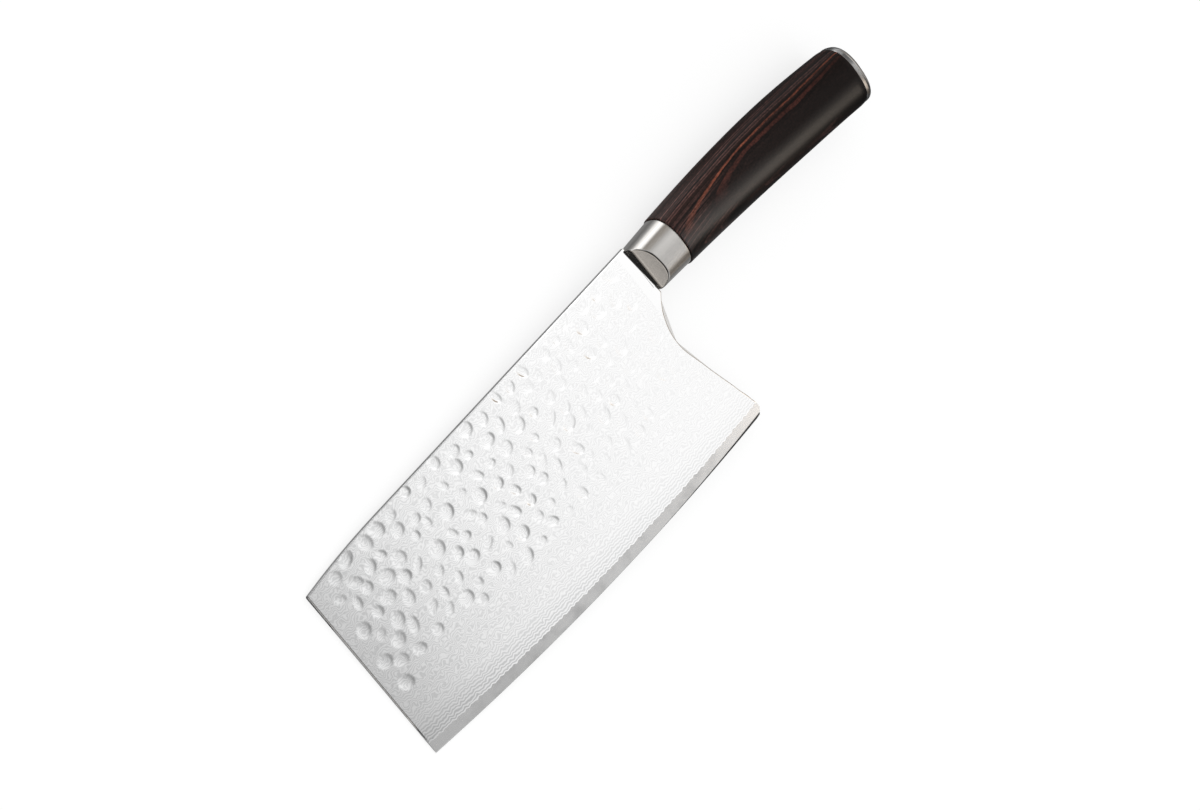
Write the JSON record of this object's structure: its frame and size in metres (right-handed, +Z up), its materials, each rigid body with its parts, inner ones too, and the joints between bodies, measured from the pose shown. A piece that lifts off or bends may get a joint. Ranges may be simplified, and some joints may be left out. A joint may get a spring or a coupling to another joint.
{
  "type": "kitchen cleaver",
  "caption": "Wide kitchen cleaver with a hammered laminated blade, a faceted steel bolster, a dark laminated wood grip and a steel end cap, lying on its side.",
  "frame": {"origin": "middle of the knife's footprint, on the surface it lies on", "axes": "+X from the tip towards the butt, +Y towards the spine, +Z up out of the blade's left side"},
  "size_m": [0.302, 0.0836, 0.0247],
  "materials": {
    "core_steel": "fine satin",
    "cladding_steel": "polished, etched with fine wavy layers and hammered",
    "bolster_steel": "satin, brushed along the grip",
    "tang_steel": "mill",
    "weld_metal": "as welded",
    "epoxy": "cast",
    "laminated_wood": "satin resin, dark brown veneers with red brown streaks"
  },
  "bodies": {
    "root": {"blade_core": "core_steel", "cladding_left": "cladding_steel", "cladding_right": "cladding_steel", "bolster": "bolster_steel", "tang": "tang_steel", "tang_weld_left": "weld_metal", "tang_weld_right": "weld_metal", "epoxy_bed": "epoxy", "grip": "laminated_wood", "end_cap": "bolster_steel"}
  },
  "joints": []
}
